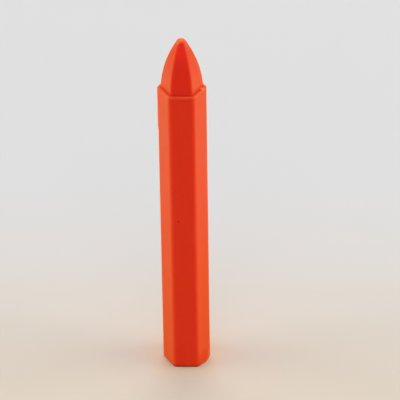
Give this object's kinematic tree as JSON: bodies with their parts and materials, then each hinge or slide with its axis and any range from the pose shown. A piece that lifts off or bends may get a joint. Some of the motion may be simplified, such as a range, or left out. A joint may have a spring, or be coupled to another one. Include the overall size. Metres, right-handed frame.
{
  "type": "marking crayon",
  "caption": "Solid wax marking crayon: straight hexagonal body with a flat butt end, a narrow shoulder and a six-sided ogive tip with a blunt nose.",
  "frame": {"origin": "centre of the butt end, on the surface it stands on", "axes": "+Z along the crayon from the butt end to the tip; -Y is the outward normal of the body flat that carries the small moulding pit"},
  "size_m": [0.0146, 0.013, 0.1143],
  "materials": {
    "wax": "satin orange-red pigmented wax with soft, slightly translucent edges"
  },
  "bodies": {
    "root": {"crayon": "wax"}
  },
  "joints": []
}
